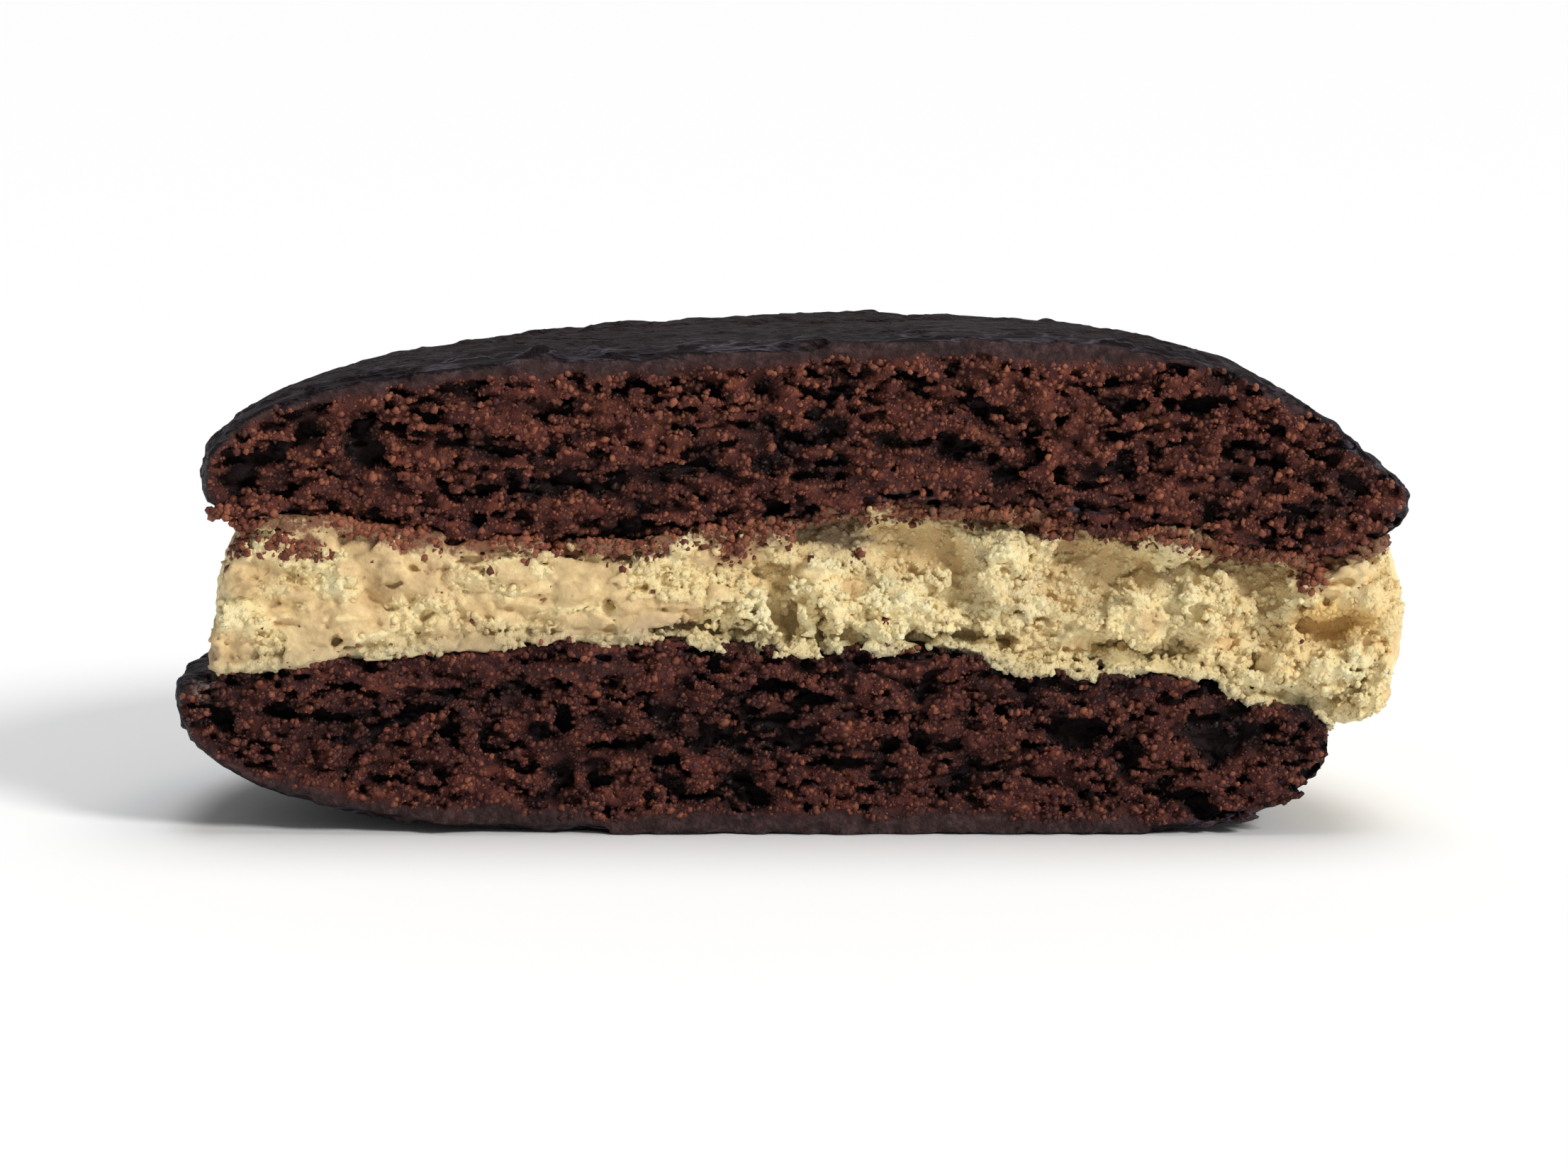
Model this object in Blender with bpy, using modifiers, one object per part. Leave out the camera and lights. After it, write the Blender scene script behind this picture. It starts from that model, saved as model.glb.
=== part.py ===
"""A chocolate whoopie pie, cut through: two soft domed cakes with a thick cream filling between them.

Each of the three layers is one closed solid. The pie is round, and a knife has taken its front off, so the
upright cut face looks towards -Y. It stands on a flat spot under the lower cake, at z = 0. Units are metres.
"""

from dataclasses import dataclass
from math import atan2, cos, hypot, pi, sin
from random import Random

import bmesh
import bpy
from mathutils import Matrix, Vector, noise

MM = 0.001

# The cut plane lies this far in front of the middle of the pie
CUT_OFFSET = 7.0 * MM
# Clearance between the filling and the cakes that it sticks to
GAP = 0.3 * MM
# Spacing of the surface that the relief is pressed into, before it is thinned out
SKIN_SPACING = 0.7 * MM
# How far behind the cut the relief of the cut face fades out
RELIEF_DEPTH = 6.0 * MM
# Triangles left in each cake, and in the filling before and after the cakes press it
CAKE_TRIANGLES = 3900
FILLING_TRIANGLES = 6500
PRESSED_TRIANGLES = 4900
# Rings and spokes of the ball that each layer is pressed from
SPOKES = 96
RINGS = 40
# An ellipsoid that marks a pore, a chunk or a hollow
BLOB_DIVISIONS = 2
# Half the width of the blocks that cut the pie, and the turn between faces from which an edge is drawn sharp
BLOCK_REACH = 0.1
SHARP_ANGLE = pi / 5
# How the noise behind every relief falls off, octave by octave, and where each relief reads it
WAVE_FALL = 0.6
WAVE_LACUNARITY = 2.0
WAVE_OCTAVES = 2
RIM_SEED = 3.0
CRUMB_SEED = 5.0
CRAG_SEED = 9.0
UPPER_PORE_SEED = 11
LOWER_PORE_SEED = 23


@dataclass
class Layer:
    """One round layer. Its upper and lower skins meet in a rim, which may slope to one side."""

    name: str
    centre_x: float
    radius: float
    rim_height: float
    rim_slope: float
    # Reach of the domed skin from the rim, at its left side and its right, and +1 for up or -1 for down
    left_dome: float
    right_dome: float
    dome_side: int
    # Exponent that flattens the middle of the dome, and those that round its left and right shoulders
    dome_flatness: float
    left_shoulder: float
    right_shoulder: float
    # (x, z) of the flatter skin along the cut, from left to right
    face: tuple
    # Uneven plan outline: (lobes, share of the radius, phase)
    lobes: tuple
    colour: tuple
    roughness: float


UPPER = Layer(
    name="upper_cake",
    centre_x=1.8 * MM,
    radius=44.2 * MM,
    rim_height=25.3 * MM,
    rim_slope=-0.006,
    left_dome=10.7 * MM,
    right_dome=12.1 * MM,
    dome_side=1,
    dome_flatness=4.1,
    left_shoulder=2.1,
    right_shoulder=0.96,
    face=((-43, 23.0), (-32, 23.2), (-26, 22.0), (-12, 21.5), (-4, 22.8), (5, 23.8), (19, 23.8), (28, 22.2),
          (35, 20.6), (45, 21.0)),
    lobes=((2, 0.010, 0.4), (3, 0.008, 2.1), (5, 0.005, 4.0)),
    colour=(0.075, 0.022, 0.012),
    roughness=0.8,
)
LOWER = Layer(
    name="lower_cake",
    centre_x=-2.9 * MM,
    radius=42.9 * MM,
    rim_height=8.9 * MM,
    rim_slope=-0.046,
    left_dome=9.95 * MM,
    right_dome=8.5 * MM,
    dome_side=-1,
    dome_flatness=3.5,
    left_shoulder=2.6,
    right_shoulder=2.6,
    face=((-45, 12.0), (-36, 12.6), (-30, 13.0), (-20, 14.1), (-10, 14.1), (0, 13.2), (10, 13.2), (20, 12.0),
          (30, 11.4), (37, 9.6), (42, 9.0)),
    lobes=((2, 0.008, 1.2), (3, 0.010, 0.3), (4, 0.006, 2.6)),
    colour=(0.060, 0.018, 0.011),
    roughness=0.85,
)
FILLING = Layer(
    name="filling",
    centre_x=1.2 * MM,
    radius=43.8 * MM,
    rim_height=17.5 * MM,
    rim_slope=0.0,
    left_dome=9.5 * MM,
    right_dome=9.5 * MM,
    dome_side=1,
    dome_flatness=9.0,
    left_shoulder=2.0,
    right_shoulder=2.0,
    face=((-45, 8.0), (45, 7.0)),
    lobes=((2, 0.006, 2.0), (3, 0.008, 1.0), (7, 0.004, 0.5)),
    colour=(0.78, 0.66, 0.38),
    roughness=0.6,
)
# The filling squeezed out further low down: share by which it narrows for each millimetre of height
FILLING_TAPER = 0.0022
# The upper cake's dome falls away behind the cut on both sides of its crest: drop for each unit of depth, one
# radius to the side, and where the crest is
DOME_FALL = 0.035
CREST_X = 5.0 * MM
# Exponents of the flatter skin: level in the middle, with a quick turn down to the rim
FACE_FLATNESS = 20.0
FACE_SHOULDER = 2.0

# Dent in the crust where the knife pressed it down: middle, reach each way and depth
DENT_AT = Vector((-20.0 * MM, -CUT_OFFSET))
DENT_REACH = Vector((20.0 * MM, 9.0 * MM))
DENT_DEPTH = 1.0 * MM
# Slow undulation of a baked skin, and the coarser one of the side that sticks to the cream. The dent and the
# coarser one fade out over this share of the radius at the rim.
RIM_SHARE = 0.125
CRUST_WAVE = 0.22 * MM
CRUST_WAVE_LENGTH = 9.0 * MM
STUCK_WAVE = 0.75 * MM
STUCK_WAVE_LENGTH = 7.0 * MM

# Large pores that the knife opened: (x, z, half width, half height), all in millimetres
UPPER_PORES = (
    (-40.3, 26.1, 1.1, 1.4), (-24.0, 32.6, 1.6, 0.9), (-31.0, 28.5, 1.5, 1.0), (-10.7, 31.2, 0.9, 1.5),
    (-16.6, 25.9, 1.6, 1.0), (-1.0, 27.4, 2.1, 0.9), (14.4, 30.6, 1.0, 1.2), (15.8, 26.5, 1.1, 1.2),
    (31.2, 27.5, 1.4, 1.0), (29.9, 31.5, 1.4, 0.9), (40.1, 24.3, 1.4, 0.8),
)
LOWER_PORES = (
    (21.6, 7.4, 2.3, 1.5), (31.8, 6.5, 2.1, 1.2), (-24.5, 7.8, 1.2, 1.1), (-40.8, 11.2, 0.9, 0.8),
    (-9.5, 9.0, 1.3, 0.8), (-3.3, 4.1, 1.2, 0.9), (10.6, 11.8, 0.9, 0.8), (-16.4, 3.7, 1.1, 0.9),
)
PORE_DEPTH = 2.8 * MM
SMALL_PORES = 22
SMALL_PORE_RADII = (0.8 * MM, 1.4 * MM)
# Half width, depth and half height of a small pore, as shares of its radius
SMALL_PORE_SHAPE = (1.2, 1.4, 0.85)
# The small pores lie inside this share of the half width, and clear of the crust
PORES_REACH = 0.9
CRUST_THICKNESS = 1.6 * MM
CRUMB_RELIEF = 1.0 * MM
CRUMB_SIZE = 2.6 * MM
# Lumps of crumb on the crust by the cut: (x, distance behind the cut, z, radius), all in millimetres
CRUST_LUMPS = (
    (29.4, 1.1, 34.6, 1.0), (26.2, 1.4, 35.2, 0.8), (17.5, 1.0, 36.2, 0.7), (-17.8, 1.6, 35.3, 1.3),
    (12.6, 1.3, 36.3, 0.8),
)
# Height of those lumps as a share of their width, and how much wider the clumps in the cake and the cream are than high
LUMP_HEIGHT = 0.7
CRUMB_STRETCH = 1.5
CRAG_STRETCH = 1.4

# Chunks of cream that stand proud of the cut: (x, z, half width, half height, how far proud, turn in degrees)
CHUNKS = (
    (-11.4, 16.6, 4.2, 1.3, 0.9, 6), (6.5, 17.2, 6.2, 3.0, 1.1, -8), (16.0, 19.6, 2.6, 3.4, 1.7, 35),
    (24.8, 20.9, 3.2, 0.9, 1.1, -6), (26.6, 18.2, 2.2, 1.6, 2.0, 10), (29.3, 15.4, 2.2, 1.4, 1.5, 40),
    (21.0, 14.9, 4.2, 1.4, 1.0, 4), (37.4, 18.6, 3.6, 1.7, 1.6, 25), (40.6, 13.4, 4.0, 1.3, 1.2, -8),
    (34.4, 12.2, 3.0, 1.1, 0.9, 0),
)
# Hollows torn out between them: (x, z, half width, half height, how deep, turn in degrees)
HOLLOWS = (
    (-36.5, 18.2, 4.6, 0.6, 1.0, 10), (-29.8, 17.6, 1.6, 0.7, 1.0, -20), (-3.4, 19.4, 2.6, 1.3, 1.7, 0),
    (0.3, 15.2, 0.8, 3.2, 2.6, 0), (11.0, 20.6, 2.4, 1.6, 1.9, -20), (21.6, 18.7, 3.4, 2.0, 2.4, 0),
    (30.6, 19.6, 1.8, 2.2, 1.8, 20), (27.2, 13.6, 1.8, 0.7, 2.2, 0), (34.2, 15.2, 3.0, 1.3, 2.2, 10),
    (-14.6, 15.0, 0.8, 1.5, 1.4, 25),
)
# The right half of the filling was torn and the left half sliced: relief at either end, and where it changes
SLICED_RELIEF = 0.35 * MM
TORN_RELIEF = 1.5 * MM
TORN_FROM = -12.0 * MM
TORN_TO = 14.0 * MM
CRAG_SIZE = 3.4 * MM
# How far the torn surface lies behind the knife's plane on average, as a share of its relief
CRAG_SINK = 0.4
RIM_RELIEF = 0.7 * MM
RIM_LUMP = 6.0 * MM


def smoothstep(value):
    held = min(max(value, 0.0), 1.0)
    return held * held * (3.0 - 2.0 * held)


def curve_height(knots, x):
    """Height at x of the smooth curve through the (x, z) knots, all in millimetres."""
    x = min(max(x, knots[0][0]), knots[-1][0])
    index = next(i for i in range(1, len(knots)) if x <= knots[i][0])
    (x0, z0), (x1, z1) = knots[index - 1], knots[index]
    return z0 + (z1 - z0) * smoothstep((x - x0) / (x1 - x0))


def waves(point, length, seed):
    """Smooth noise from about -1 to 1 whose bumps are about one length across."""
    return noise.fractal(point / length + Vector((seed, seed, -seed)), WAVE_FALL, WAVE_LACUNARITY, WAVE_OCTAVES)


def outline(layer, angle):
    """Share of the radius that the plan outline reaches at an angle."""
    return 1.0 + sum(share * cos(count * angle + phase) for count, share, phase in layer.lobes)


def domed_height(layer, x, out):
    """Height of the domed skin at x, where `out` is the distance from the middle as a share of the outline."""
    across = smoothstep(0.5 + 0.5 * (x - layer.centre_x) / layer.radius)
    reach = layer.left_dome + (layer.right_dome - layer.left_dome) * across
    shoulder = layer.left_shoulder + (layer.right_shoulder - layer.left_shoulder) * across
    share = (1.0 - out ** layer.dome_flatness) ** (1.0 / shoulder)
    return rim_at(layer, x) + layer.dome_side * reach * share


def flat_height(layer, x, out):
    """Height of the flatter skin, which turns quickly down to the rim."""
    share = (1.0 - out ** FACE_FLATNESS) ** (1.0 / FACE_SHOULDER)
    rim = rim_at(layer, x)
    return rim + (curve_height(layer.face, x / MM) * MM - rim) * share


def rim_at(layer, x):
    return layer.rim_height + layer.rim_slope * (x - layer.centre_x)


def dent(x, y):
    across = (x - DENT_AT.x) / DENT_REACH.x
    along = (y - DENT_AT.y) / DENT_REACH.y
    return DENT_DEPTH / (1.0 + across ** 4 + along ** 2)


def fall(layer, point):
    """How far the dome has fallen away behind the cut, least along its crest."""
    return DOME_FALL * ((point.x - CREST_X) / layer.radius) ** 2 * (point.y + CUT_OFFSET)


def skin_point(layer, ball):
    """Where a point of the unit ball lies on the skin of the layer."""
    out = min(hypot(ball.x, ball.y), 1.0)
    reach = layer.radius * outline(layer, atan2(ball.y, ball.x))
    x = layer.centre_x + reach * ball.x
    domed = ball.z * layer.dome_side > 0.0
    z = domed_height(layer, x, out) if domed else flat_height(layer, x, out)
    return Vector((x, reach * ball.y, z))


def cake_skin(layer, ball):
    """The skin of a cake: smooth with slow waves on its baked dome, lumpy where it sticks to the cream."""
    point = skin_point(layer, ball)
    inward = smoothstep((1.0 - hypot(ball.x, ball.y)) / RIM_SHARE)
    if ball.z * layer.dome_side > 0.0:
        point.z += CRUST_WAVE * waves(point, CRUST_WAVE_LENGTH, layer.dome_side)
        if layer is UPPER:
            point.z -= (dent(point.x, point.y) + fall(layer, point)) * inward
    else:
        point.z += STUCK_WAVE * waves(point, STUCK_WAVE_LENGTH, layer.dome_side) * inward
    return point


def filling_skin(layer, ball):
    """The skin of the filling: a barrel that widens downwards and bulges between the cakes."""
    point = skin_point(layer, ball)
    wide = 1.0 - FILLING_TAPER * (point.z - layer.rim_height) / MM
    wide += RIM_RELIEF * waves(point, RIM_LUMP, RIM_SEED) / layer.radius
    return Vector((point.x * wide, point.y * wide, point.z))


def new_object(name, mesh, collection):
    obj = bpy.data.objects.new(name, mesh)
    collection.objects.link(obj)
    return obj


def new_collection(name, hidden):
    collection = bpy.data.collections.new(name)
    collection.hide_render = hidden
    bpy.context.scene.collection.children.link(collection)
    return collection


def pressed_ball(name, layer, skin, collection, grown=0.0):
    """A ball whose points are pressed onto a layer's skin, and then moved out by `grown`."""
    bm = bmesh.new()
    bmesh.ops.create_uvsphere(bm, u_segments=SPOKES, v_segments=RINGS, radius=1.0)
    for vert in bm.verts:
        vert.co = skin(layer, vert.co.normalized())
    bm.normal_update()
    moved = {vert: vert.normal * grown for vert in bm.verts}
    for vert, step in moved.items():
        vert.co += step
    mesh = bpy.data.meshes.new(name)
    bm.to_mesh(mesh)
    bm.free()
    return new_object(name, mesh, collection)


def blob(name, centre, radii, turn, collection):
    """An ellipsoid, turned about the Y axis."""
    bm = bmesh.new()
    bmesh.ops.create_icosphere(bm, subdivisions=BLOB_DIVISIONS, radius=1.0)
    placed = Matrix.Translation(centre) @ Matrix.Rotation(turn * pi / 180.0, 4, "Y") @ Matrix.Diagonal((*radii, 1.0))
    bmesh.ops.transform(bm, matrix=placed, verts=bm.verts)
    mesh = bpy.data.meshes.new(name)
    bm.to_mesh(mesh)
    bm.free()
    return new_object(name, mesh, collection)


def block(name, low, high, collection):
    """A box from its low corner to its high one."""
    low, high = Vector(low), Vector(high)
    bm = bmesh.new()
    size = Matrix.Diagonal((*(high - low), 1.0))
    bmesh.ops.create_cube(bm, size=1.0, matrix=Matrix.Translation((low + high) / 2) @ size)
    mesh = bpy.data.meshes.new(name)
    bm.to_mesh(mesh)
    bm.free()
    return new_object(name, mesh, collection)


def apply_modifiers(obj):
    graph = bpy.context.evaluated_depsgraph_get()
    mesh = bpy.data.meshes.new_from_object(obj.evaluated_get(graph))
    obj.modifiers.clear()
    obj.data = mesh


def cut_with(obj, other):
    modifier = obj.modifiers.new("cut", "BOOLEAN")
    modifier.operation = "DIFFERENCE"
    modifier.object = other
    apply_modifiers(obj)


def combine(obj, collection, operation):
    """Joins a collection of blobs to the object, or takes them out of it, and removes them."""
    modifier = obj.modifiers.new("blobs", "BOOLEAN")
    modifier.operation = operation
    modifier.operand_type = "COLLECTION"
    modifier.collection = collection
    apply_modifiers(obj)
    for used in list(collection.objects):
        bpy.data.objects.remove(used)
    bpy.data.collections.remove(collection)


def reskin(obj):
    """Gives the solid an even skin, fine enough to hold the relief."""
    modifier = obj.modifiers.new("skin", "REMESH")
    modifier.mode = "VOXEL"
    modifier.voxel_size = SKIN_SPACING
    apply_modifiers(obj)


def thin_out(obj, triangles):
    """Collapses the skin to about this many triangles, fewest where it is flat."""
    present = sum(len(face.vertices) - 2 for face in obj.data.polygons)
    modifier = obj.modifiers.new("thin", "DECIMATE")
    modifier.ratio = min(1.0, triangles / present)
    modifier.use_collapse_triangulate = True
    apply_modifiers(obj)


def keep_largest_piece(obj):
    """Drops loose scraps that a cut left beside the main solid."""
    bm = bmesh.new()
    bm.from_mesh(obj.data)
    unseen = set(bm.verts)
    pieces = []
    while unseen:
        start = unseen.pop()
        piece, edge_of_piece = {start}, [start]
        while edge_of_piece:
            vert = edge_of_piece.pop()
            fresh = {edge.other_vert(vert) for edge in vert.link_edges} - piece
            piece |= fresh
            edge_of_piece.extend(fresh)
        unseen -= piece
        pieces.append(piece)
    largest = max(pieces, key=len)
    bmesh.ops.delete(bm, geom=[vert for vert in bm.verts if vert not in largest], context="VERTS")
    bm.to_mesh(obj.data)
    bm.free()


def press_relief(obj, relief):
    """Moves the cut face in and out by relief(point), which fades out behind the cut."""
    for vert in obj.data.vertices:
        fade = smoothstep(1.0 - (vert.co.y + CUT_OFFSET) / RELIEF_DEPTH)
        if fade > 0.0:
            vert.co.y += relief(vert.co) * fade


def crumb_relief(point):
    """Depth of the crumb behind the knife's plane: clumps, with gaps torn between them."""
    flat = Vector((point.x, point.z * CRUMB_STRETCH, 0.0))
    return CRUMB_RELIEF * (0.5 + 0.5 * waves(flat, CRUMB_SIZE, CRUMB_SEED))


def crag_relief(point):
    """Depth of the cream's surface: nearly flat where it was sliced, craggy where it was torn."""
    torn = smoothstep((point.x - TORN_FROM) / (TORN_TO - TORN_FROM))
    height = SLICED_RELIEF + (TORN_RELIEF - SLICED_RELIEF) * torn
    flat = Vector((point.x, point.z * CRAG_STRETCH, 0.0))
    return height * (CRAG_SINK + waves(flat, CRAG_SIZE, CRAG_SEED))


def small_pores(layer, seed):
    """Seeded draw of smaller pores over the cut face, as (x, z, radius)."""
    draw = Random(seed)
    for _ in range(SMALL_PORES):
        out = draw.uniform(-PORES_REACH, PORES_REACH)
        x = layer.centre_x + out * layer.radius
        radius = draw.uniform(*SMALL_PORE_RADII)
        crust = domed_height(layer, x, abs(out))
        stuck = flat_height(layer, x, abs(out))
        margin = CRUST_THICKNESS + radius
        low, high = sorted((crust - layer.dome_side * margin, stuck + layer.dome_side * margin))
        yield x, draw.uniform(low, high), radius


def open_pores(obj, layer, large, seed):
    """Takes the pores out of the cut face."""
    pores = new_collection(layer.name + "_pores", True)
    for number, (x, z, half_width, half_height) in enumerate(large):
        centre = Vector((x * MM, -CUT_OFFSET, z * MM))
        blob(f"large_{number}", centre, (half_width * MM, PORE_DEPTH, half_height * MM), 0.0, pores)
    for number, (x, z, radius) in enumerate(small_pores(layer, seed)):
        centre = Vector((x, -CUT_OFFSET, z))
        blob(f"small_{number}", centre, tuple(radius * share for share in SMALL_PORE_SHAPE), 0.0, pores)
    combine(obj, pores, "DIFFERENCE")


def add_crust_lumps(obj):
    """Joins the broken crumbs that stick to the crust just behind the cut."""
    lumps = new_collection("crust_lumps", True)
    for number, (x, behind, z, radius) in enumerate(CRUST_LUMPS):
        centre = Vector((x * MM, -CUT_OFFSET + behind * MM, z * MM))
        blob(f"lump_{number}", centre, (radius * MM, radius * MM, radius * LUMP_HEIGHT * MM), 0.0, lumps)
    combine(obj, lumps, "UNION")


def make_cake(layer, large_pores, knife, seed, collection):
    cake = pressed_ball(layer.name, layer, cake_skin, collection)
    cut_with(cake, knife)
    open_pores(cake, layer, large_pores, seed)
    if layer is UPPER:
        add_crust_lumps(cake)
    reskin(cake)
    press_relief(cake, crumb_relief)
    thin_out(cake, CAKE_TRIANGLES)
    return cake


def add_crags(filling):
    """Joins the chunks to the cut face of the cream, and then takes out the hollows."""
    for rows, operation in ((CHUNKS, "UNION"), (HOLLOWS, "DIFFERENCE")):
        crags = new_collection("crags", True)
        for number, (x, z, half_width, half_height, reach, turn) in enumerate(rows):
            # A chunk is sunk in the cream as far as it stands proud, and a hollow is centred on the cut
            sunk = reach if operation == "UNION" else 0.0
            centre = Vector((x * MM, -CUT_OFFSET + sunk * MM, z * MM))
            radii = (half_width * MM, (reach + sunk) * MM, half_height * MM)
            blob(f"crag_{number}", centre, radii, turn, crags)
        combine(filling, crags, operation)


def make_filling(knife, collection, cutters):
    """The cream: a leaning barrel, cut, torn, and pressed to the shape of the cakes above and below it."""
    filling = pressed_ball(FILLING.name, FILLING, filling_skin, collection)
    cut_with(filling, knife)
    add_crags(filling)
    reskin(filling)
    press_relief(filling, crag_relief)
    thin_out(filling, FILLING_TRIANGLES)
    for layer in (UPPER, LOWER):
        presser = pressed_ball(layer.name + "_presser", layer, cake_skin, cutters, grown=GAP)
        cut_with(filling, presser)
    keep_largest_piece(filling)
    thin_out(filling, PRESSED_TRIANGLES)
    return filling


def stand_on_floor(cake, collection):
    """Flattens the underside and sets it at z = 0."""
    low = (-BLOCK_REACH, -BLOCK_REACH, -BLOCK_REACH)
    floor = block("floor_cutter", low, (BLOCK_REACH, BLOCK_REACH, 0.0), collection)
    cut_with(cake, floor)


def centre_on_base(objects):
    """Puts the middle of the whole pie's bounding box over the origin."""
    corners = [vert.co for obj in objects for vert in obj.data.vertices]
    middle_x = (min(c.x for c in corners) + max(c.x for c in corners)) / 2
    middle_y = (min(c.y for c in corners) + max(c.y for c in corners)) / 2
    for obj in objects:
        obj.data.transform(Matrix.Translation((-middle_x, -middle_y, 0.0)))


def give_material(obj, layer):
    material = bpy.data.materials.new(layer.name)
    material.use_nodes = True
    shader = material.node_tree.nodes["Principled BSDF"]
    shader.inputs["Base Color"].default_value = (*layer.colour, 1.0)
    shader.inputs["Roughness"].default_value = layer.roughness
    shader.inputs["Metallic"].default_value = 0.0
    obj.data.materials.clear()
    obj.data.materials.append(material)
    obj.data.shade_smooth()
    obj.data.set_sharp_from_angle(angle=SHARP_ANGLE)


def main():
    for obj in list(bpy.data.objects):
        bpy.data.objects.remove(obj)
    pie = new_collection("WhoopiePie", False)
    cutters = new_collection("Cutters", True)
    low = (-BLOCK_REACH, -BLOCK_REACH, -BLOCK_REACH)
    knife = block("knife", low, (BLOCK_REACH, -CUT_OFFSET, BLOCK_REACH), cutters)
    upper = make_cake(UPPER, UPPER_PORES, knife, UPPER_PORE_SEED, pie)
    lower = make_cake(LOWER, LOWER_PORES, knife, LOWER_PORE_SEED, pie)
    stand_on_floor(lower, cutters)
    filling = make_filling(knife, pie, cutters)
    for obj, layer in ((upper, UPPER), (filling, FILLING), (lower, LOWER)):
        give_material(obj, layer)
    centre_on_base((upper, filling, lower))


main()
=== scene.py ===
"""Looks of the cut whoopie pie: open crumb, wrinkled crust and torn cream in place of the plain solids.

Each layer's solid is turned into a block of signed distances, detail is added to those distances, and
a mesh is drawn from them again. Lengths in the distance work are in millimetres, and points are arrays
of three rows.
"""

from math import cos, radians, sin

import bmesh
import bpy
import numpy as np
import openvdb
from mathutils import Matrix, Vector


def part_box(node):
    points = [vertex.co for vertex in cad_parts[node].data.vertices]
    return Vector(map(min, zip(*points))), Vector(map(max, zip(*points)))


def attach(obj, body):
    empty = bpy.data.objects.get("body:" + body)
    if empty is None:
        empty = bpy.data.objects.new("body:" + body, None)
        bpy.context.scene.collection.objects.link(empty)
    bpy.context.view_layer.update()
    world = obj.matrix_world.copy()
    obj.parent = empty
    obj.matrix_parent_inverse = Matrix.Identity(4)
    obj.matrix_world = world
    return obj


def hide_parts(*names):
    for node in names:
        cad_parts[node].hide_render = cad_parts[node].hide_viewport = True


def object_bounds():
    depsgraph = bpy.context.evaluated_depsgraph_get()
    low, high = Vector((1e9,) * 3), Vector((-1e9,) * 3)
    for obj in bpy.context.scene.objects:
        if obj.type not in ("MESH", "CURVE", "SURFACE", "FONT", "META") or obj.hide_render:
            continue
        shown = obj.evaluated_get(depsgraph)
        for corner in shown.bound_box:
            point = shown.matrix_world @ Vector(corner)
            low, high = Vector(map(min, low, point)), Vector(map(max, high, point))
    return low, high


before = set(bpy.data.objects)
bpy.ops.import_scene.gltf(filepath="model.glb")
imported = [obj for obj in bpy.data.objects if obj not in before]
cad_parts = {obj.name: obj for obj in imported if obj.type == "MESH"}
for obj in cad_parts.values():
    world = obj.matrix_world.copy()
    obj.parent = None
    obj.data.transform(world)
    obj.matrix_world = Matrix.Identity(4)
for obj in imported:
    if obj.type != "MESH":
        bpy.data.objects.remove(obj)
cad_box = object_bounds()

MM = 0.001
# The plane that the knife left
CUT_Y = min(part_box("upper_cake")[0][1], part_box("lower_cake")[0][1]) / MM
# Grids that the layers are drawn with, and how far from the surface their distances are kept
FINE_VOXEL = 0.17
COARSE_VOXEL = 0.5
FINE_REACH = 0.6
COARSE_REACH = 6.0
# The fine distances are used within the first of these, and detail is added within the second
FINE_TRUSTED = 0.5
NEAR_SURFACE = 0.58
# How far behind the cut the open crumb and the torn cream reach, and the depth that the uncut sides are
# read at for all that lies in front of it
CRUMB_DEPTH = 4.0
CREAM_DEPTH = 6.0
SIDE_DEPTH = 4.5
# Cells of the granules in the crumb
CRUMB_GRAIN = (0.62, 0.6, 0.5)
# Triangles of the drawn surfaces, and the most granules of each kind
SPONGE_TRIANGLES = 136000
CREAM_TRIANGLES = 188000
MOST_UPPER_GRANULES = 14000
MOST_LOWER_GRANULES = 13500
MOST_CURDS = 10500
MOST_CRUMBS = 3300
# The least distances between granules, and the radius from which they have more faces
GRANULE_SPACING = 0.27
CURD_SPACING = 0.3
CRUMB_SPACING = 0.26
SMALLEST_ROUND = 0.185
# Seeds of the noise and of the random draws
BORDER_SEED, UPPER_SEED, LOWER_SEED, CREAM_SEED = 77, 5, 9, 41
UPPER_GRANULE_SEED, LOWER_GRANULE_SEED = 61, 62
CURD_SEED, CURD_SHAPE_SEED = 37, 39
CRUMB_SEED, CRUMB_PATCH_SEED, CRUMB_SHAPE_SEED = 23, 58, 29
# The noise's table, how far apart its layers lie in it, and a shift that keeps cell numbers above zero
TABLE_BITS = 5
TABLE_SIZE = 1 << TABLE_BITS
LAYER_STEP = 5.3
TABLE_SHIFT = 100.0


def smoothstep(value):
    held = np.clip(value, 0.0, 1.0)
    return held * held * (3.0 - 2.0 * held)


def mix(a, b, share):
    return a + (b - a) * share


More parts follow.
